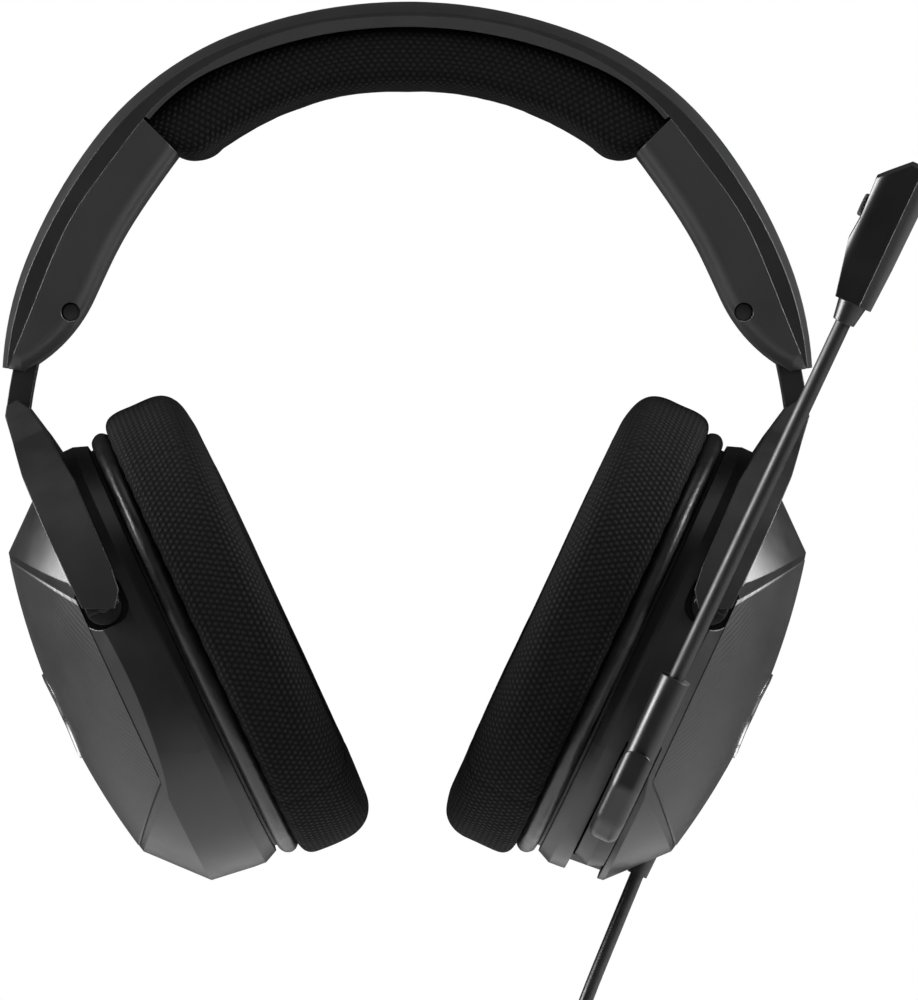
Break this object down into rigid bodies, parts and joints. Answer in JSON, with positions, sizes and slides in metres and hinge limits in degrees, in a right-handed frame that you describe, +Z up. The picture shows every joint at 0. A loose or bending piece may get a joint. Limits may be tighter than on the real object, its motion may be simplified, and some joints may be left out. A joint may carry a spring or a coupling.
{
  "type": "gaming headset",
  "caption": "Over-ear gaming headset with a padded arched headband, sliding fork yokes, tilting oval ear cups with thick fabric cushions, a swing-down boom microphone and a wired plug.",
  "frame": {"origin": "where the pad under the headband rests on the crown of the head, on the middle plane", "axes": "+X towards the wearer's left, the microphone's side; +Y behind the wearer; +Z up"},
  "size_m": [0.1987, 0.113, 0.3192],
  "materials": {
    "shell_plastic": "satin moulded plastic, very fine grain",
    "trim_plastic": "matte moulded plastic",
    "cover_plastic": "satin moulded plastic, very fine grain",
    "inner_plastic": "plain moulded plastic",
    "fork_plastic": "satin moulded plastic, very fine grain",
    "cup_plastic": "satin moulded plastic, very fine grain",
    "plate_plastic": "satin plastic with fine slanted lines",
    "badge_metal": "polished ring",
    "spring_steel": "brushed along its length",
    "screw_steel": "dark zinc plated",
    "driver_metal": "stamped metal",
    "diaphragm_film": "thin pressed film",
    "ear_cloth": "thin felted cloth",
    "piping_leatherette": "semi-gloss leatherette with a fine grain",
    "cushion_fabric": "knit with raised dots",
    "pad_fabric": "knit with raised dots",
    "board_laminate": "solder-masked laminate",
    "wheel_plastic": "fine knurled rim",
    "boom_rubber": "smooth matte rubber sleeve",
    "mic_plastic": "satin moulded plastic",
    "mic_cover_plastic": "satin moulded plastic",
    "windscreen_foam": "open-cell foam",
    "cable_rubber": "smooth satin cable jacket",
    "tie_strap": "hook-and-loop strap",
    "plug_metal": "polished plated metal"
  },
  "bodies": {
    "head": {"headband_shell": "shell_plastic", "base_plate": "trim_plastic", "headband_pad": "pad_fabric", "headband_wire": "spring_steel", "cover_screws": "screw_steel", "end_cover_left": "cover_plastic", "slider_guide_left": "inner_plastic", "detent_spring_left": "spring_steel", "end_cover_right": "cover_plastic", "slider_guide_right": "inner_plastic", "detent_spring_right": "spring_steel"},
    "fork_left": {"slider_band_left": "spring_steel", "band_rivets_left": "screw_steel", "fork_yoke_left": "fork_plastic"},
    "fork_right": {"slider_band_right": "spring_steel", "band_rivets_right": "screw_steel", "fork_yoke_right": "fork_plastic"},
    "cup_left": {"cup_housing_left": "cup_plastic", "outer_plate_left": "plate_plastic", "emblem_ring_left": "badge_metal", "pivot_pins_left": "screw_steel", "baffle_plate_left": "inner_plastic", "baffle_screws_left": "screw_steel", "driver_left": "driver_metal", "driver_diaphragm_left": "diaphragm_film", "acoustic_cloth_left": "ear_cloth", "cushion_frame_left": "inner_plastic", "cushion_piping_left": "piping_leatherette", "ear_cushion_left": "cushion_fabric", "circuit_board": "board_laminate", "wheel_shaft": "inner_plastic", "mic_pivot_pin": "screw_steel", "cable_gland": "cable_rubber", "cable_tie": "tie_strap", "plug_body": "cable_rubber", "plug_shaft": "plug_metal", "cable_lead": "cable_rubber", "cable_coil": "cable_rubber", "cable_tail": "cable_rubber"},
    "cup_right": {"cup_housing_right": "cup_plastic", "outer_plate_right": "plate_plastic", "emblem_ring_right": "badge_metal", "pivot_pins_right": "screw_steel", "baffle_plate_right": "inner_plastic", "baffle_screws_right": "screw_steel", "driver_right": "driver_metal", "driver_diaphragm_right": "diaphragm_film", "acoustic_cloth_right": "ear_cloth", "cushion_frame_right": "inner_plastic", "cushion_piping_right": "piping_leatherette", "ear_cushion_right": "cushion_fabric"},
    "microphone": {"mic_arm": "cup_plastic", "mic_boom": "boom_rubber", "mic_collar": "mic_plastic", "mic_capsule": "mic_plastic", "mic_capsule_cover": "mic_cover_plastic", "mic_windscreen": "windscreen_foam", "mic_element": "driver_metal"},
    "volume_wheel": {"volume_wheel": "wheel_plastic"}
  },
  "joints": [
    {"name": "slide_left", "type": "hinge", "parent": "head", "child": "fork_left", "pos_m": [-0.0352, 0, -0.0852], "axis": [0, 1, 0], "range_deg": [0, 11]},
    {"name": "tilt_left", "type": "hinge", "parent": "fork_left", "child": "cup_left", "pos_m": [0.0651, 0, -0.112], "axis": [0, -1, 0], "range_deg": [-6, 14]},
    {"name": "slide_right", "type": "hinge", "parent": "head", "child": "fork_right", "pos_m": [0.0352, 0, -0.0852], "axis": [0, -1, 0], "range_deg": [0, 11]},
    {"name": "tilt_right", "type": "hinge", "parent": "fork_right", "child": "cup_right", "pos_m": [-0.0651, 0, -0.112], "axis": [0, 1, 0], "range_deg": [-6, 14]},
    {"name": "mic_swing", "type": "hinge", "parent": "cup_left", "child": "microphone", "pos_m": [0.04797, -0.017, -0.14815], "axis": [0.9063, 0, -0.4226], "range_deg": [0, 115]},
    {"name": "volume_turn", "type": "hinge", "parent": "cup_left", "child": "volume_wheel", "pos_m": [0.05327, 0.0332, -0.13738], "axis": [0.9063, 0, -0.4226], "range_deg": [0, 270]}
  ]
}
